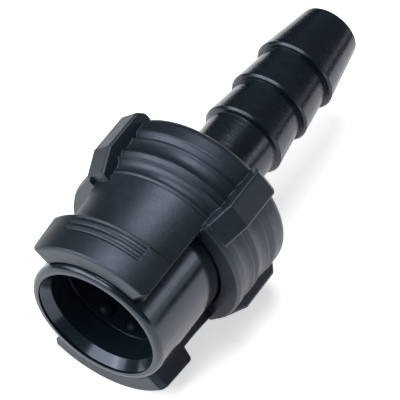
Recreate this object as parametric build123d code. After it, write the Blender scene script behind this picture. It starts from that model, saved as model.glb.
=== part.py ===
from build123d import *
import math
import os

os.makedirs("parts", exist_ok=True)

# Plastic quick disconnect coupling: a socket with a pull-back release sleeve and a barbed hose tail.
# Millimetres. The axis runs along +Y from the middle of the mouth at the origin to the hose end.
# The middle of one sleeve tab points to +Z and the other to -Z. In every section below x is the
# distance from the axis and y the place along it.

# Sizes that set the coupling ---------------------------------------------------------------
HOSE_BORE = 12.7                     # bore of the hose that is pushed on the tail
BORE_R = 9.9                         # bore that takes the plug
TUBE_WALL = 2.4                      # wall of the socket's tube round it
SLEEVE_TRAVEL = 3.5                  # pull that frees the plug
BALL_LIFT = 0.84                     # outward travel of a locking ball over that pull

# Clearances
SLIDE_CLEAR = 0.10                   # radial, between pieces that slide on each other
SEAT_CLEAR = 0.05                    # between a moving piece and its stop
SEAL_CLEAR = 0.05                    # round an O-ring in its groove
FIT_CLEAR = 0.05                     # radial, between pieces that are fixed in each other

# Mouth and bore of the socket
RIM_ROUND = 1.0
MOUTH_FLARE = 0.95                   # mouth over the bore, in radius
RIM_LIP = 0.4                        # length of the small lip inside the rim
RIM_STEP = 0.15                      # depth of the step behind it
LEAD_END = 2.2
RELIEF_Y = 6.4                       # shallow relief groove ahead of the balls
RELIEF_LENGTH = 0.5
RELIEF_DEPTH = 0.25
SEAL_GROOVE_Y = 11.6
SEAL_GROOVE_LENGTH = 2.9
SEAL_GROOVE_DEPTH = 1.4
SOCKET_SEAL_WIRE = 1.7
BACKUP_LENGTH = 1.0

# Locking balls: three under each tab
BALL_R = 1.6
BALL_Y = 9.0
BALLS_PER_TAB = 3
BALL_STEP = 30.0                     # degrees between neighbours
BALL_LIP = 0.5                       # height of the tapered lip that keeps a ball out of the bore

# Valve in the middle of the body
SEAT_Y = 17.5                        # rear face of the seat wall
SEAT_WALL = 2.0
SEAT_HOLE_R = 5.0
CHAMBER_R = 9.0
HEAD_R = 7.4
HEAD_LENGTH = 2.5
HEAD_GAP = 0.2                       # head to seat wall: the seal stands proud by this much
POPPET_SEAL_R = 6.0                  # middle of the poppet's O-ring
POPPET_SEAL_WIRE = 1.4
NOSE_Y = 15.7                        # front of the poppet's nose, inside the seat hole
NOSE_R = 2.2
STEM_R = 1.5
STEM_END = 30.6
VALVE_WIRE = 0.55
VALVE_SPRING_R = 3.6
VALVE_TURNS = 2.5

# Guide that carries the stem
GUIDE_LENGTH = 1.5
GUIDE_RIM = 1.2
GUIDE_HUB_R = 4.3
SPOKE_WIDTH = 1.6
SPOKE_COUNT = 3

# Outside of the body behind the tube
FLANGE_Y = 27.65                     # front face of the spring flange
FLANGE_LENGTH = 1.6
FLANGE_RISE = 1.5                    # height of the flange over the tube
HUB_R = 11.5
BODY_END = 32.6
COUNTERBORE_R = 9.6
COUNTERBORE_Y = 26.4                 # shoulder that the guide sits on
KEY_WIDTH = 3.0
KEY_HEIGHT = 0.6

# Sleeve
LIP_FRONT = 0.85
LIP_FRONT_WALL = 3.35                # lip's height over the sleeve's bore at its front
LIP_CREST_WALL = 3.8                 # and at its crest
LIP_LEAD = 0.3                       # chamfer inside the lip's front
LIP_CREST_Y = 8.4
LIP_ROUND = 0.7
TAB_WALL = 1.55                      # wall of a tab at its waist, behind the lip
WAIST_Y = 9.0
WAIST_RISE = 0.8                     # gentle rise of the waist towards the collar
WAIST_END = 19.2
STEP_RIDGE_Y = 19.7                  # small ridge where the waist ends
STEP_DEPTH = 0.15
TAB_END = 22.0                       # where a tab has risen to the collar
TAB_HALF = 44.3                      # degrees each side of the tab's middle, at the waist
LIP_HALVES = (42.0, 44.6)            # degrees at the lip's crest, towards +X and towards -X
LIP_CORNER = 1.0                     # cut off the front corners of the lip
POCKET_FRONT = 3.7                   # front wall of the pocket that the balls rise into
POCKET_HALF = 40.0
COLLAR_FRONT = 17.2
COLLAR_BACK = 31.3
COLLAR_WALL = 2.1                    # over the spring's room
BACK_BAND_RISE = 0.2                 # back band over the rest of the collar
COLLAR_ROUND = 0.35                  # fall of the collar's front edge and of its back edge
GROOVE_DEPTH = 0.55
GROOVE_1 = 22.4                      # bottoms of the two sharp grooves round the collar
GROOVE_2 = 26.85
GROOVE_FRONT = 0.4                   # length of a groove's steep front side
GROOVE_BACK = 0.8                    # and of its gentle back side
SCOOP_DEPTH = 0.35                   # hollow of the two scooped bands
SCOOP_LAND = 0.25                    # flat between a groove and a scoop
BACK_FALL = 1.3                      # length over which the back band rounds off
FRONT_SCOOP_Y = 19.3                 # where the first scoop starts
FRONT_WALL = 1.7
FRONT_WALL_CLEAR = 0.3
RETAINER_LENGTH = 1.6
RETAINER_GRIP = 0.5                  # depth of the retainer's groove
RETAINER_BORE_R = 12.2
RETAINER_SPLIT = 3.0
LUG_ANGLES = (52.6, -40.0)           # degrees from a tab's middle to the lugs beside it
LUG_WIDTH = 4.9
LUG_HEIGHT = 2.0
LUG_CREASE = 22.2
LUG_BACK_CHAMFER = 1.0
LUG_ROUND = 0.5
GRIP_COUNT = 3                       # shallow grip grooves across the top of each lip
GRIP_HALF = 26.0
GRIP_R = 0.35
GRIP_STEP = 1.25

# Sleeve spring
WASHER_LENGTH = 0.6
SLEEVE_WIRE = 1.1
SLEEVE_TURNS = 2.5

# Hose tail
TAIL_FLANGE_R = 10.8
TAIL_FLANGE_LENGTH = 1.4
TAIL_BORE_R = 4.7
TAIL_STEM_R = 6.5
TAIL_FUNNEL_R = 7.4
TAIL_SEAL_WIRE = 1.3
TAIL_SEAL_Y = 30.2
BARB_FIRST = 43.8
BARB_PITCH = 8.15
BARB_COUNT = 3
BARB_RISE = 1.05                     # crest over root
CREST_LAND = 0.35
TAIL_END = 71.8
TIP_R = 5.4
TIP_ROUND = 0.45

# Values that follow ------------------------------------------------------------------------
TUBE_R = BORE_R + TUBE_WALL
MOUTH_R = BORE_R + MOUTH_FLARE
SEAL_GROOVE_R = BORE_R + SEAL_GROOVE_DEPTH
FLANGE_R = TUBE_R + FLANGE_RISE
SLEEVE_BORE_R = TUBE_R + SLIDE_CLEAR
SPRING_ROOM_R = FLANGE_R + SLIDE_CLEAR
COLLAR_R = SPRING_ROOM_R + COLLAR_WALL
BACK_BAND_R = COLLAR_R + BACK_BAND_RISE
LUG_R = COLLAR_R + LUG_HEIGHT
LIP_FRONT_R = SLEEVE_BORE_R + LIP_FRONT_WALL
LIP_CREST_R = SLEEVE_BORE_R + LIP_CREST_WALL
WAIST_R = SLEEVE_BORE_R + TAB_WALL
FRONT_WALL_BACK = COLLAR_FRONT + FRONT_WALL
FLANGE_BACK = FLANGE_Y + FLANGE_LENGTH
RETAINER_Y = FLANGE_BACK + SEAT_CLEAR
RETAINER_R = SPRING_ROOM_R + RETAINER_GRIP
WASHER_Y = FLANGE_Y - WASHER_LENGTH
BALL_CENTRE_R = TUBE_R - BALL_R
BALL_RATIO = BALL_LIFT / SLEEVE_TRAVEL
HEAD_Y = SEAT_Y + HEAD_GAP
HEAD_BACK = HEAD_Y + HEAD_LENGTH
GUIDE_END = COUNTERBORE_Y + GUIDE_LENGTH
TAIL_FLANGE_END = BODY_END + TAIL_FLANGE_LENGTH
PLUG_R = COUNTERBORE_R - FIT_CLEAR
ROOT_R = HOSE_BORE / 2
CREST_R = ROOT_R + BARB_RISE
TAB_MIDDLES = (0.0, 180.0)           # degrees round the axis from +Z
FAR = 3 * TUBE_R


def section(points, rounds=None):
    """Closed half-section, with the corners whose numbers are given rounded."""
    face = make_face(Polyline(*points, close=True))
    for index, radius in (rounds or {}).items():
        corner = face.vertices().sort_by_distance(Vector(*points[index]))[0]
        face = fillet(corner, radius)
    return face


def turned(points, rounds=None):
    return revolve(section(points, rounds), Axis.Y)


def ring(inner, outer, start, end):
    return turned([(inner, start), (outer, start), (outer, end), (inner, end)])


def o_ring(middle, wire, place):
    return revolve(Pos(middle, place) * Circle(wire / 2), Axis.Y)


def around(angle):
    """Turn about the axis that takes +Z towards +X."""
    return Rot(0, angle, 0)


def wedge(half, start, end, tops=None):
    """Prism along the axis, half degrees wide each side of +Z, and tops wide from the lip's crest out."""
    plus, minus = tops or (half, half)
    sides = []
    for sign, top in ((1, plus), (-1, minus)):
        corners = [(WAIST_R, half), (LIP_CREST_R, top), (FAR, top)]
        turned_by = [(r, math.radians(sign * a)) for r, a in corners]
        sides.append([(r * math.sin(a), r * math.cos(a)) for r, a in turned_by])
    outline = [(0, 0)] + sides[0] + sides[1][::-1]
    face = make_face(Polyline(*[(x, start, z) for x, z in outline], close=True))
    return extrude(face, amount=end - start, dir=(0, 1, 0))


def radial(solid, angle, distance, place):
    """Put a solid whose own +Z points outwards at a place on the coupling."""
    return around(angle) * Pos(0, place, distance) * solid


def coil(middle, wire, start, end, turns):
    """Open coil spring between two flat seats, clear of both."""
    low = start + wire / 2 + SEAT_CLEAR
    high = end - wire / 2 - SEAT_CLEAR
    path = Helix((high - low) / turns, high - low, middle, center=(0, low, 0), direction=(0, 1, 0))
    profile = Plane(path @ 0, z_dir=path % 0) * Circle(wire / 2)
    return sweep(profile, path=path, is_frenet=True)


# Socket body -------------------------------------------------------------------------------
def ball_angles():
    half = (BALLS_PER_TAB - 1) / 2
    return [tab + (n - half) * BALL_STEP for tab in TAB_MIDDLES for n in range(BALLS_PER_TAB)]


def ball_hole():
    """Hole with a tapered lip at the bore; its own +Z points outwards from the bore's wall."""
    lip_r = math.sqrt(BALL_R**2 - (BALL_CENTRE_R - BORE_R) ** 2) + SEAT_CLEAR
    wide_r = BALL_R + SEAT_CLEAR
    taper = (wide_r - lip_r) / BALL_LIP
    below = BALL_LIP
    points = [(0, -below), (lip_r - taper * below, -below), (wide_r, BALL_LIP), (wide_r, FAR), (0, FAR)]
    return Rot(90, 0, 0) * turned(points)


def socket_body():
    groove_end = SEAL_GROOVE_Y + SEAL_GROOVE_LENGTH
    body = turned(
        [
            (MOUTH_R, 0),
            (TUBE_R, 0),
            (TUBE_R, FLANGE_Y),
            (FLANGE_R, FLANGE_Y),
            (FLANGE_R, FLANGE_BACK),
            (HUB_R, FLANGE_BACK),
            (HUB_R, BODY_END),
            (COUNTERBORE_R, BODY_END),
            (COUNTERBORE_R, COUNTERBORE_Y),
            (CHAMBER_R, COUNTERBORE_Y),
            (CHAMBER_R, SEAT_Y),
            (SEAT_HOLE_R, SEAT_Y),
            (SEAT_HOLE_R, SEAT_Y - SEAT_WALL),
            (BORE_R, SEAT_Y - SEAT_WALL),
            (BORE_R, groove_end),
            (SEAL_GROOVE_R, groove_end),
            (SEAL_GROOVE_R, SEAL_GROOVE_Y),
            (BORE_R, SEAL_GROOVE_Y),
            (BORE_R, RELIEF_Y + RELIEF_LENGTH),
            (BORE_R + RELIEF_DEPTH, RELIEF_Y + RELIEF_LENGTH),
            (BORE_R + RELIEF_DEPTH, RELIEF_Y),
            (BORE_R, RELIEF_Y),
            (BORE_R, LEAD_END),
            (MOUTH_R + RIM_STEP, RIM_LIP + RIM_STEP),
            (MOUTH_R, RIM_LIP),
        ],
        {1: RIM_ROUND},
    )
    key = Box(KEY_WIDTH, FLANGE_LENGTH, FLANGE_R - HUB_R + KEY_HEIGHT)
    for angle in (90, -90):
        middle = (HUB_R + FLANGE_R + KEY_HEIGHT) / 2
        body += radial(key, angle, middle, FLANGE_Y + FLANGE_LENGTH / 2)
    for angle in ball_angles():
        body -= radial(ball_hole(), angle, BORE_R, BALL_Y)
    return body


def lock_ball():
    half = section([(0, -BALL_R), (BALL_R, -BALL_R), (BALL_R, BALL_R), (0, BALL_R)])
    return revolve(half & Circle(BALL_R), Axis.Y)


def socket_seal():
    middle = SEAL_GROOVE_R - SEAL_CLEAR - SOCKET_SEAL_WIRE / 2
    return o_ring(middle, SOCKET_SEAL_WIRE, SEAL_GROOVE_Y + SEAL_CLEAR + SOCKET_SEAL_WIRE / 2)


def seal_backup_ring():
    end = SEAL_GROOVE_Y + SEAL_GROOVE_LENGTH - SEAL_CLEAR
    return ring(BORE_R + FIT_CLEAR, SEAL_GROOVE_R - FIT_CLEAR, end - BACKUP_LENGTH, end)


# Release sleeve ----------------------------------------------------------------------------
def lip_ring():
    points = [
        (WAIST_R, WAIST_Y),
        (SLEEVE_BORE_R, WAIST_Y),
        (SLEEVE_BORE_R, LIP_FRONT + LIP_LEAD),
        (SLEEVE_BORE_R + LIP_LEAD, LIP_FRONT),
        (LIP_FRONT_R, LIP_FRONT),
        (LIP_CREST_R, LIP_CREST_Y),
    ]
    return turned(points, {4: LUG_ROUND, 5: LIP_ROUND})


def waist_ring():
    """Waist of a tab, the small ridge at its end, and its rise to the collar."""
    end_r = WAIST_R + WAIST_RISE
    ridge_r = end_r + STEP_DEPTH
    floor = Polyline(
        (COLLAR_R, TAB_END),
        (SPRING_ROOM_R, TAB_END),
        (SPRING_ROOM_R, FRONT_WALL_BACK),
        (SLEEVE_BORE_R, FRONT_WALL_BACK),
        (SLEEVE_BORE_R, WAIST_Y),
        (WAIST_R, WAIST_Y),
    )
    waist = Spline((WAIST_R, WAIST_Y), (end_r, WAIST_END), tangents=[(0, 1), (0.15, 1)])
    step = Polyline(
        (end_r, WAIST_END),
        (end_r - STEP_DEPTH, WAIST_END + STEP_DEPTH),
        (ridge_r, STEP_RIDGE_Y),
    )
    rise = ThreePointArc(
        (ridge_r, STEP_RIDGE_Y),
        (ridge_r, (STEP_RIDGE_Y + TAB_END) / 2),
        (COLLAR_R, TAB_END),
    )
    return revolve(make_face(Curve() + [floor, waist, step, rise]), Axis.Y)


def tab(middle):
    lip_wedge = wedge(TAB_HALF, 0, WAIST_Y, LIP_HALVES)
    waist_wedge = wedge(TAB_HALF, WAIST_Y, TAB_END)
    corner = Rot(0, 0, 45) * Box(LIP_CORNER * math.sqrt(2), LIP_CORNER * math.sqrt(2), LUG_R)
    lip = lip_ring() & lip_wedge
    for side, half in zip((1, -1), LIP_HALVES):
        lip -= around(side * (half + TAB_HALF) / 2) * Pos(0, LIP_FRONT, LUG_R) * corner
    pocket_end = BALL_Y
    slope = BALL_RATIO
    pocket = turned(
        [
            (BORE_R, POCKET_FRONT),
            (SLEEVE_BORE_R + slope * (pocket_end - POCKET_FRONT), POCKET_FRONT),
            (SLEEVE_BORE_R, pocket_end),
            (BORE_R, pocket_end),
        ]
    )
    lip -= pocket & wedge(POCKET_HALF, POCKET_FRONT, pocket_end)
    for n in range(GRIP_COUNT):
        lip -= grip_groove(n) & wedge(GRIP_HALF, 0, WAIST_Y)
    return around(middle) * (lip + (waist_ring() & waist_wedge))


def grip_groove(number):
    """One shallow groove across the top of the lip, counted from its crest."""
    back = (number + 0.5) * GRIP_STEP
    rise = (LIP_CREST_R - LIP_FRONT_R) / (LIP_CREST_Y - LIP_FRONT)
    return o_ring(LIP_CREST_R - rise * back, 2 * GRIP_R, LIP_CREST_Y - back)


def scoop(start, end):
    """Hollow band of the collar, between two places along it."""
    return ThreePointArc((COLLAR_R, start), (COLLAR_R - SCOOP_DEPTH, (start + end) / 2), (COLLAR_R, end))


def collar():
    """Ring that holds the spring, with two sharp grooves and two scooped bands round it."""
    low_r = COLLAR_R - GROOVE_DEPTH
    first_end = GROOVE_1 - GROOVE_FRONT - SCOOP_LAND
    second_start = GROOVE_1 + GROOVE_BACK + SCOOP_LAND
    second_end = GROOVE_2 - GROOVE_FRONT - SCOOP_LAND
    inner = Polyline(
        (BACK_BAND_R - 2 * COLLAR_ROUND, COLLAR_BACK),
        (SPRING_ROOM_R, COLLAR_BACK),
        (SPRING_ROOM_R, FRONT_WALL_BACK),
        (TUBE_R + FRONT_WALL_CLEAR, FRONT_WALL_BACK),
        (TUBE_R + FRONT_WALL_CLEAR, COLLAR_FRONT),
        (COLLAR_R - COLLAR_ROUND, COLLAR_FRONT),
        (COLLAR_R, COLLAR_FRONT + 2 * COLLAR_ROUND),
        (COLLAR_R, FRONT_SCOOP_Y),
    )
    first_groove = Polyline(
        (COLLAR_R, first_end),
        (COLLAR_R, GROOVE_1 - GROOVE_FRONT),
        (low_r, GROOVE_1),
        (COLLAR_R, GROOVE_1 + GROOVE_BACK),
        (COLLAR_R, second_start),
    )
    second_groove = Polyline(
        (COLLAR_R, second_end),
        (COLLAR_R, GROOVE_2 - GROOVE_FRONT),
        (low_r, GROOVE_2),
        (BACK_BAND_R - COLLAR_ROUND / 2, GROOVE_2 + GROOVE_BACK),
    )
    land_start = GROOVE_2 + GROOVE_BACK + COLLAR_ROUND
    land_end = COLLAR_BACK - BACK_FALL
    back_band = [
        Polyline(
            (BACK_BAND_R - COLLAR_ROUND / 2, GROOVE_2 + GROOVE_BACK),
            (BACK_BAND_R, land_start),
            (BACK_BAND_R, land_end),
        ),
        TangentArc((BACK_BAND_R, land_end), (BACK_BAND_R - 2 * COLLAR_ROUND, COLLAR_BACK), tangent=(0, 1)),
    ]
    bands = [scoop(FRONT_SCOOP_Y, first_end), scoop(second_start, second_end)] + back_band
    return revolve(make_face(Curve() + [inner, first_groove, second_groove] + bands), Axis.Y)


def lug():
    """One lug, its own +Z pointing outwards, its foot sunk into the collar's wall."""
    foot = SPRING_ROOM_R + RETAINER_GRIP + FIT_CLEAR
    points = [
        (foot, COLLAR_FRONT + 2 * COLLAR_ROUND),
        (COLLAR_R, COLLAR_FRONT + 2 * COLLAR_ROUND),
        (LUG_R, LUG_CREASE),
        (LUG_R, COLLAR_BACK - LUG_BACK_CHAMFER),
        (LUG_R - LUG_BACK_CHAMFER, COLLAR_BACK),
        (foot, COLLAR_BACK),
    ]
    side = make_face(Polyline(*[(0, y, r) for r, y in points], close=True))
    block = extrude(side, amount=LUG_WIDTH / 2, dir=(1, 0, 0), both=True)
    top = [e for e in block.edges() if e.center().Z > COLLAR_R + 0.01]
    return fillet(top, LUG_ROUND)


def release_sleeve():
    sleeve = collar()
    saddle = ring(SPRING_ROOM_R + TAB_WALL / 4, FAR, 0, TAB_END) & wedge(TAB_HALF, 0, TAB_END)
    for middle in TAB_MIDDLES:
        sleeve -= around(middle) * saddle
    for middle in TAB_MIDDLES:
        sleeve += tab(middle)
    for middle in TAB_MIDDLES:
        for angle in LUG_ANGLES:
            sleeve += around(middle + angle) * lug()
    sleeve -= ring(BORE_R, RETAINER_R, RETAINER_Y, RETAINER_Y + RETAINER_LENGTH)
    slot = Box(KEY_WIDTH + 2 * SLIDE_CLEAR, FAR, 2 * (KEY_HEIGHT + SLIDE_CLEAR))
    for angle in (90, -90):
        sleeve -= radial(slot, angle, FLANGE_R, FRONT_WALL_BACK + FAR / 2)
    return sleeve


def sleeve_retainer():
    """Split ring sprung into the groove at the back of the sleeve."""
    whole = ring(RETAINER_BORE_R, RETAINER_R - FIT_CLEAR, RETAINER_Y, RETAINER_Y + RETAINER_LENGTH)
    gap = Box(RETAINER_SPLIT, FAR, FAR)
    return whole - Pos(0, 0, -FAR / 2) * gap


def spring_washer():
    return ring(TUBE_R + SLIDE_CLEAR, SPRING_ROOM_R - SLIDE_CLEAR, WASHER_Y, FLANGE_Y)


def sleeve_spring():
    middle = (TUBE_R + SPRING_ROOM_R) / 2
    return coil(middle, SLEEVE_WIRE, FRONT_WALL_BACK, WASHER_Y, SLEEVE_TURNS)


# Valve -------------------------------------------------------------------------------------
def poppet_seal():
    return o_ring(POPPET_SEAL_R, POPPET_SEAL_WIRE, SEAT_Y + SEAT_CLEAR + POPPET_SEAL_WIRE / 2)


def valve_poppet():
    groove = POPPET_SEAL_WIRE / 2 + SEAL_CLEAR
    floor = SEAT_Y + SEAT_CLEAR + POPPET_SEAL_WIRE + SEAL_CLEAR
    return turned(
        [
            (0, NOSE_Y),
            (NOSE_R, NOSE_Y),
            (NOSE_R, HEAD_Y),
            (POPPET_SEAL_R - groove, HEAD_Y),
            (POPPET_SEAL_R - groove, floor),
            (POPPET_SEAL_R + groove, floor),
            (POPPET_SEAL_R + groove, HEAD_Y),
            (HEAD_R, HEAD_Y),
            (HEAD_R, HEAD_BACK),
            (STEM_R, HEAD_BACK),
            (STEM_R, STEM_END),
            (0, STEM_END),
        ],
        {1: NOSE_R / 2},
    )


def valve_spring():
    return coil(VALVE_SPRING_R, VALVE_WIRE, HEAD_BACK, COUNTERBORE_Y, VALVE_TURNS)


def spring_guide():
    guide = ring(PLUG_R - GUIDE_RIM, PLUG_R, COUNTERBORE_Y, GUIDE_END)
    guide += ring(STEM_R + SLIDE_CLEAR, GUIDE_HUB_R, COUNTERBORE_Y, GUIDE_END)
    inner = GUIDE_HUB_R - GUIDE_RIM / 2
    outer = PLUG_R - GUIDE_RIM / 2
    spoke = Box(SPOKE_WIDTH, GUIDE_LENGTH, outer - inner)
    for n in range(SPOKE_COUNT):
        guide += radial(spoke, n * 360 / SPOKE_COUNT, (inner + outer) / 2, COUNTERBORE_Y + GUIDE_LENGTH / 2)
    return guide


# Hose tail ---------------------------------------------------------------------------------
def tail_seal():
    return o_ring(COUNTERBORE_R - SEAL_CLEAR - TAIL_SEAL_WIRE / 2, TAIL_SEAL_WIRE, TAIL_SEAL_Y)


def hose_tail():
    groove_half = TAIL_SEAL_WIRE / 2 + 2 * SEAL_CLEAR
    groove_r = COUNTERBORE_R - TAIL_SEAL_WIRE - 2 * SEAL_CLEAR
    points = [
        (TAIL_FUNNEL_R, GUIDE_END),
        (PLUG_R, GUIDE_END),
        (PLUG_R, TAIL_SEAL_Y - groove_half),
        (groove_r, TAIL_SEAL_Y - groove_half),
        (groove_r, TAIL_SEAL_Y + groove_half),
        (PLUG_R, TAIL_SEAL_Y + groove_half),
        (PLUG_R, BODY_END),
        (TAIL_FLANGE_R, BODY_END),
        (TAIL_FLANGE_R, TAIL_FLANGE_END),
        (TAIL_STEM_R, TAIL_FLANGE_END),
        (TAIL_STEM_R, BARB_FIRST - CREST_LAND),
    ]
    for n in range(BARB_COUNT):
        shoulder = BARB_FIRST + n * BARB_PITCH
        last = n == BARB_COUNT - 1
        points += [(CREST_R - CREST_LAND, shoulder), (CREST_R, shoulder + CREST_LAND)]
        points += [(TIP_R, TAIL_END)] if last else [(ROOT_R, shoulder + BARB_PITCH)]
    points += [(TAIL_BORE_R, TAIL_END), (TAIL_BORE_R, TAIL_FLANGE_END)]
    return turned(points, {len(points) - 3: TIP_ROUND})


PIECES = {
    "socket_body": socket_body,
    "socket_seal": socket_seal,
    "seal_backup_ring": seal_backup_ring,
    "release_sleeve": release_sleeve,
    "sleeve_retainer": sleeve_retainer,
    "sleeve_spring": sleeve_spring,
    "spring_washer": spring_washer,
    "valve_poppet": valve_poppet,
    "poppet_seal": poppet_seal,
    "valve_spring": valve_spring,
    "spring_guide": spring_guide,
    "hose_tail": hose_tail,
    "tail_seal": tail_seal,
}

for name, make in PIECES.items():
    export_step(make(), f"parts/{name}.step")

for number, angle in enumerate(ball_angles(), start=1):
    export_step(radial(lock_ball(), angle, BALL_CENTRE_R, BALL_Y), f"parts/lock_ball_{number}.step")
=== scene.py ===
import math

import bmesh
import bpy
from mathutils import Matrix, Vector


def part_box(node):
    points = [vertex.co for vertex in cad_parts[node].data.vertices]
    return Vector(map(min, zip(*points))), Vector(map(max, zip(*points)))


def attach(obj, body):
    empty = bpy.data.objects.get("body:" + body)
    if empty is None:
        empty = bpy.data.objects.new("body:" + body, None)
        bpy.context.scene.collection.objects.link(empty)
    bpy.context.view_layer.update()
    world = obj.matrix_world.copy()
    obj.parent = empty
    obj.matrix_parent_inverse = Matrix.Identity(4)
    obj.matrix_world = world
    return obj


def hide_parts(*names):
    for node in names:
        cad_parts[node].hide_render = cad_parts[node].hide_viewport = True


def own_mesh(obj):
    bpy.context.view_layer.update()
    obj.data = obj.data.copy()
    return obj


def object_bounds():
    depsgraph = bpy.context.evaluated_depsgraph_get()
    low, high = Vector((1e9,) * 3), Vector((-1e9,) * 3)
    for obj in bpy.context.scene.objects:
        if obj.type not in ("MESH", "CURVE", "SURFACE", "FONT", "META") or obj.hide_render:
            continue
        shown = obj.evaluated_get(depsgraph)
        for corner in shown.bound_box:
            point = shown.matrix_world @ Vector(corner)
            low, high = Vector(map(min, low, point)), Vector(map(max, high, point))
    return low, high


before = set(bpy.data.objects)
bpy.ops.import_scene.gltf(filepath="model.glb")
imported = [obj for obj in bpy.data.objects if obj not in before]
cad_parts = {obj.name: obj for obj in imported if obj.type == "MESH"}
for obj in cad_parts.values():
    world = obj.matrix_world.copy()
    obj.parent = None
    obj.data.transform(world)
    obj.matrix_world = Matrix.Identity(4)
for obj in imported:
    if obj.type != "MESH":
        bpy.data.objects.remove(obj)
cad_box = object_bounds()

MM = 0.001

# Camera -------------------------------------------------------------------------------------
CAMERA_AT = Vector((206.2, -219.8, 366.2)) * MM
CAMERA_RIGHT = Vector((0.838, 0.536, -0.105))
CAMERA_UP = Vector((-0.348, 0.672, 0.653))
CAMERA_LENS = 270.3
SENSOR_WIDTH = 36.0
NEAREST_SEEN = 0.01
FARTHEST_SEEN = 10.0


def set_camera():
    """A long lens, well away, that looks down on the mouth of the coupling."""
    data = bpy.data.cameras.new("coupling_camera")
    data.lens = CAMERA_LENS
    data.sensor_width = SENSOR_WIDTH
    data.clip_start = NEAREST_SEEN
    data.clip_end = FARTHEST_SEEN
    camera = bpy.data.objects.new("coupling_camera", data)
    right = CAMERA_RIGHT.normalized()
    back = right.cross(CAMERA_UP).normalized()
    up = back.cross(right)
    turn = Matrix((right, up, back)).transposed().to_4x4()
    camera.matrix_world = Matrix.Translation(CAMERA_AT) @ turn
    bpy.context.scene.collection.objects.link(camera)
    bpy.context.scene.camera = camera


set_camera()
bpy.context.scene.view_settings.view_transform = "Standard"


# Materials ----------------------------------------------------------------------------------
BLACK = (0.003, 0.0058, 0.0092)
INNER_BLACK = (0.02, 0.022, 0.025)
BLUE_SHEEN = (0.69, 0.79, 1.0, 1.0)
DARKER, LIGHTER = 0.8, 1.25          # how far the tone of a moulding drifts from its colour
TONE_SIZE = 6 * MM
POLISH_SIZE = 1.2 * MM
RING_STRETCH = (0.12, 1.0, 0.12)     # draws noise out round the axis
EDGE_SAMPLES = 8
AMOUNT, FIRST, SECOND, BLENDED = 0, 6, 7, 2  # sockets of a mix node set to colours


class Nodes:
    """A material's node tree, with one call for a node and its settings."""

    def __init__(self, name):
        self.material = bpy.data.materials.new(name)
        self.material.use_nodes = True
        self.tree = self.material.node_tree
        self.shader = self.tree.nodes["Principled BSDF"]
        self.place = self.add("ShaderNodeTexCoord").outputs["Object"]

    def add(self, kind, inputs=None, **settings):
        node = self.tree.nodes.new(kind)
        for name, value in settings.items():
            setattr(node, name, value)
        for name, value in (inputs or {}).items():
            self.put(node.inputs[name], value)
        return node

    def put(self, socket, value):
        if isinstance(value, bpy.types.NodeSocket):
            self.tree.links.new(value, socket)
        else:
            socket.default_value = value

    def finish(self, **inputs):
        for name, value in inputs.items():
            self.put(self.shader.inputs[name.replace("_", " ")], value)
        return self.material

    def noise(self, size, detail=3.0, place=None):
        """Noise whose features are about size across, in metres."""
        node = self.add(
            "ShaderNodeTexNoise",
            {"Vector": place or self.place, "Scale": 1 / size, "Detail": detail},
        )
        return node.outputs["Fac"]

    def span(self, value, low, high, start=0.3, end=0.7):
        """Value, stretched from start...end to low...high."""
        limits = {"Value": value, "From Min": start, "From Max": end, "To Min": low, "To Max": high}
        return self.add("ShaderNodeMapRange", limits).outputs["Result"]

    def blend(self, amount, first, second):
        node = self.add("ShaderNodeMix", data_type="RGBA")
        self.put(node.inputs[AMOUNT], amount)
        self.put(node.inputs[FIRST], (*first, 1.0))
        self.put(node.inputs[SECOND], (*second, 1.0))
        return node.outputs[BLENDED]

    def bump(self, height, depth, normal=None):
        inputs = {"Height": height, "Distance": depth}
        if normal:
            inputs["Normal"] = normal
        return self.add("ShaderNodeBump", inputs).outputs["Normal"]

    def soft_edges(self, radius):
        node = self.add("ShaderNodeBevel", {"Radius": radius}, samples=EDGE_SAMPLES)
        return node.outputs["Normal"]

    def rings(self, size):
        """Noise drawn out round the coupling's axis: the fine marks of a polished mould."""
        stretch = self.add("ShaderNodeMapping", {"Vector": self.place, "Scale": RING_STRETCH})
        return self.noise(size, place=stretch.outputs["Vector"])


def shade(colour, factor):
    return tuple(part * factor for part in colour)


def moulded(name, colour, gloss, rough, grain, depth, edge, rings=None):
    """Moulded black plastic: drifting tone, uneven polish, fine grain and softened edges.

    Rough is its lowest and highest roughness, grain and depth the size of the moulded grain, and
    edge the radius of the soft edges. Rings is the size and depth of marks drawn out round the axis.
    """
    nodes = Nodes(name)
    tone = nodes.span(nodes.noise(TONE_SIZE), 0.0, 1.0)
    normal = nodes.bump(nodes.noise(grain, detail=2.0), depth, nodes.soft_edges(edge))
    if rings:
        ring_size, ring_depth = rings
        marks = nodes.rings(ring_size)
        polish = nodes.span(marks, *rough)
        normal = nodes.bump(marks, ring_depth, normal)
    else:
        polish = nodes.span(nodes.noise(POLISH_SIZE, detail=5.0), *rough)
    return nodes.finish(
        Base_Color=nodes.blend(tone, shade(colour, DARKER), shade(colour, LIGHTER)),
        Roughness=polish,
        Normal=normal,
        Specular_IOR_Level=gloss,
        Specular_Tint=BLUE_SHEEN,
    )


def drawn_steel():
    """Bright drawn wire, a little worn."""
    nodes = Nodes("drawn_spring_wire")
    worn = nodes.span(nodes.noise(0.8 * MM, detail=6.0), 0.0, 1.0)
    return nodes.finish(
        Base_Color=nodes.blend(worn, (0.52, 0.51, 0.49), (0.66, 0.66, 0.65)),
        Metallic=1.0,
        Roughness=nodes.span(nodes.noise(0.3 * MM), 0.22, 0.4),
        Normal=nodes.bump(nodes.noise(0.15 * MM), 0.01 * MM),
    )


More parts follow.
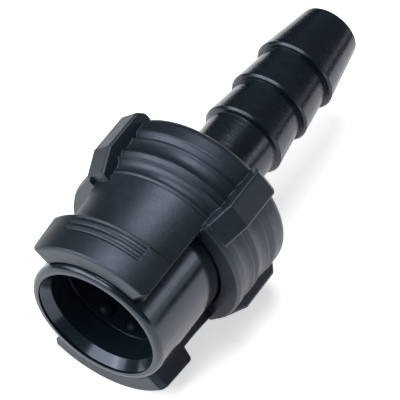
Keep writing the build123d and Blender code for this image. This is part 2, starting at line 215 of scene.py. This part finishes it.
def nitrile():
    """Black seal rubber with a faint bloom."""
    nodes = Nodes("nitrile_seal")
    bloom = nodes.span(nodes.noise(1.5 * MM, detail=5.0), 0.0, 1.0)
    return nodes.finish(
        Base_Color=nodes.blend(bloom, (0.012, 0.012, 0.013), (0.026, 0.026, 0.027)),
        Roughness=nodes.span(nodes.noise(0.7 * MM), 0.45, 0.65),
        Normal=nodes.bump(nodes.noise(0.2 * MM), 0.01 * MM),
    )


POLISHED_BODY = moulded(
    "polished_body",
    shade(BLACK, 1.6),
    gloss=0.6,
    rough=(0.15, 0.21),
    grain=0.5 * MM,
    depth=0.004 * MM,
    edge=0.04 * MM,
)
RINGED_TAIL = moulded(
    "ringed_tail",
    BLACK,
    gloss=0.6,
    rough=(0.19, 0.31),
    grain=0.4 * MM,
    depth=0.01 * MM,
    edge=0.1 * MM,
    rings=(0.35 * MM, 0.022 * MM),
)
MATTE_SLEEVE = moulded(
    "matte_sleeve",
    shade(BLACK, 1.15),
    gloss=0.7,
    rough=(0.37, 0.45),
    grain=0.2 * MM,
    depth=0.035 * MM,
    edge=0.28 * MM,
)
ACETAL_BALL = moulded(
    "acetal_ball",
    BLACK,
    gloss=0.1,
    rough=(0.4, 0.5),
    grain=0.3 * MM,
    depth=0.003 * MM,
    edge=0.05 * MM,
)
INNER_ACETAL = moulded(
    "inner_acetal",
    INNER_BLACK,
    gloss=0.4,
    rough=(0.36, 0.46),
    grain=0.3 * MM,
    depth=0.006 * MM,
    edge=0.1 * MM,
)
SPRING_WIRE = drawn_steel()
SEAL_RUBBER = nitrile()

FINISHES = {
    "socket_body": POLISHED_BODY,
    "hose_tail": RINGED_TAIL,
    "release_sleeve": MATTE_SLEEVE,
    "sleeve_retainer": INNER_ACETAL,
    "valve_poppet": INNER_ACETAL,
    "spring_guide": INNER_ACETAL,
    "seal_backup_ring": INNER_ACETAL,
    "spring_washer": INNER_ACETAL,
    "sleeve_spring": SPRING_WIRE,
    "valve_spring": SPRING_WIRE,
    "socket_seal": SEAL_RUBBER,
    "poppet_seal": SEAL_RUBBER,
    "tail_seal": SEAL_RUBBER,
}

for node_name, node_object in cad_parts.items():
    finish_of_node = FINISHES.get(node_name, ACETAL_BALL)
    for material_slot in node_object.material_slots:
        material_slot.material = finish_of_node


# Springs ------------------------------------------------------------------------------------
SLEEVE_WIRE = 1.1 * MM
VALVE_WIRE = 0.55 * MM
SPRING_TURNS = 2.5
WIRE_SIDES = 12
STEPS_A_TURN = 40


def wound_spring(node, wire, turns):
    """A coil wound from round wire, fixed to the body in place of the part, which it hides."""
    low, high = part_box(node)
    middle = (high.x - low.x - wire) / 2
    first = min(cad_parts[node].data.vertices, key=lambda vertex: vertex.co.y).co
    steps = round(turns * STEPS_A_TURN)
    rise = (high.y - low.y - wire) / steps
    shape = bmesh.new()
    bmesh.ops.create_circle(shape, segments=WIRE_SIDES, radius=wire / 2)
    bmesh.ops.translate(shape, verts=shape.verts, vec=(middle, low.y + wire / 2, 0))
    bmesh.ops.rotate(
        shape,
        verts=shape.verts,
        cent=(0, 0, 0),
        matrix=Matrix.Rotation(math.atan2(-first.z, first.x), 3, "Y"),
    )
    bmesh.ops.spin(
        shape,
        geom=shape.verts[:] + shape.edges[:],
        cent=(0, 0, 0),
        axis=(0, 1, 0),
        dvec=(0, rise, 0),
        angle=turns * math.tau,
        steps=steps,
    )
    bmesh.ops.holes_fill(shape, edges=[edge for edge in shape.edges if edge.is_boundary])
    bmesh.ops.recalc_face_normals(shape, faces=shape.faces)
    mesh = bpy.data.meshes.new("wound_" + node)
    shape.to_mesh(mesh)
    shape.free()
    mesh.shade_smooth()
    mesh.materials.append(SPRING_WIRE)
    spring = bpy.data.objects.new("wound_" + node, mesh)
    bpy.context.scene.collection.objects.link(spring)
    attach(spring, "body")
    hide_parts(node)
    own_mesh(spring)


wound_spring("sleeve_spring", SLEEVE_WIRE, SPRING_TURNS)
wound_spring("valve_spring", VALVE_WIRE, SPRING_TURNS)


# Floor and light ----------------------------------------------------------------------------
MIDDLE = (cad_box[0] + cad_box[1]) / 2
FLOOR_Z = cad_box[0].z
FLOOR_HALF = 1.5
FLOOR_WHITE = (0.82, 0.82, 0.82, 1.0)
FLOOR_GLOW = 0.6
AIR_LIGHT = 0.16
AIR_TINT = (0.94, 0.97, 1.0, 1.0)
CARD_BLACK = (0.004, 0.004, 0.004, 1.0)
CARD_R = 75 * MM
CARD_STEPS = 24


def pale_floor():
    """A wide white table that the coupling lies on and throws its shadow on."""
    mesh = bpy.data.meshes.new("floor")
    shape = bmesh.new()
    bmesh.ops.create_grid(shape, x_segments=1, y_segments=1, size=FLOOR_HALF)
    bmesh.ops.translate(shape, verts=shape.verts, vec=(0, 0, FLOOR_Z))
    shape.to_mesh(mesh)
    shape.free()
    floor = bpy.data.objects.new("floor", mesh)
    bpy.context.scene.collection.objects.link(floor)
    nodes = Nodes("white_table")
    light_path = nodes.add("ShaderNodeLightPath")
    seen = nodes.add(
        "ShaderNodeMath",
        {0: light_path.outputs["Is Camera Ray"], 1: light_path.outputs["Is Glossy Ray"]},
        operation="MAXIMUM",
    )
    seen = nodes.add(
        "ShaderNodeMath",
        {0: seen.outputs[0], 1: light_path.outputs["Is Transmission Ray"]},
        operation="MAXIMUM",
    )
    glow = nodes.add(
        "ShaderNodeMath", {0: seen.outputs[0], 1: FLOOR_GLOW}, operation="MULTIPLY"
    )
    floor.data.materials.append(
        nodes.finish(
            Base_Color=FLOOR_WHITE,
            Roughness=0.9,
            Specular_IOR_Level=0.1,
            Emission_Color=(1.0, 1.0, 1.0, 1.0),
            Emission_Strength=glow.outputs[0],
        )
    )


def studio_air():
    """Even dim light from all round, for what the lamps and the table don't reach."""
    world = bpy.data.worlds.new("studio_air")
    world.use_nodes = True
    bpy.context.scene.world = world
    back = world.node_tree.nodes["Background"]
    back.inputs["Color"].default_value = AIR_TINT
    back.inputs["Strength"].default_value = AIR_LIGHT


def softbox(name, direction, distance, size, glow):
    """A rectangle of soft light that faces the middle of the coupling; glow is how bright it looks."""
    data = bpy.data.lights.new(name, "AREA")
    data.shape = "RECTANGLE"
    data.size, data.size_y = size
    data.energy = glow * math.pi * size[0] * size[1]
    lamp = bpy.data.objects.new(name, data)
    towards = Vector(direction).normalized()
    lamp.location = MIDDLE + towards * distance
    lamp.rotation_euler = towards.to_track_quat("Z", "Y").to_euler()
    lamp.visible_camera = False
    bpy.context.scene.collection.objects.link(lamp)


def dark_card(name, start, end, low, high):
    """A black card in an arc round the coupling, which darkens what its flanks reflect.

    It stands from low to high over the floor, and runs from start to end in degrees from +X.
    """
    shape = bmesh.new()
    foot = shape.verts.new((CARD_R, 0, low))
    top = shape.verts.new((CARD_R, 0, high))
    edge = shape.edges.new((foot, top))
    turn = Matrix.Rotation(math.radians(start), 3, "Z")
    bmesh.ops.rotate(shape, verts=[foot, top], cent=(0, 0, 0), matrix=turn)
    bmesh.ops.spin(
        shape,
        geom=[foot, top, edge],
        cent=(0, 0, 0),
        axis=(0, 0, 1),
        angle=math.radians(end - start),
        steps=CARD_STEPS,
    )
    bmesh.ops.translate(shape, verts=shape.verts, vec=(MIDDLE.x, MIDDLE.y, FLOOR_Z))
    mesh = bpy.data.meshes.new(name)
    shape.to_mesh(mesh)
    shape.free()
    card = bpy.data.objects.new(name, mesh)
    card.visible_camera = False
    card.visible_shadow = False
    bpy.context.scene.collection.objects.link(card)
    mesh.materials.append(
        Nodes("black_card").finish(
            Base_Color=CARD_BLACK, Roughness=1.0, Specular_IOR_Level=0.0
        )
    )


pale_floor()
studio_air()
dark_card("right_card", 0, 70, 0, 13 * MM)
dark_card("left_card", 110, 190, 16 * MM, 42 * MM)
softbox("top_softbox", (-0.02, 0.16, 0.98), 0.6, (0.26, 0.32), 9.0)
softbox("left_softbox", (-0.70, -0.36, 0.62), 0.6, (0.3, 0.3), 3.5)
softbox("front_softbox", (-0.33, -0.71, 0.62), 0.6, (0.5, 0.44), 5.0)
softbox("right_softbox", (0.88, 0.46, 0.12), 0.7, (0.2, 0.14), 3.0)
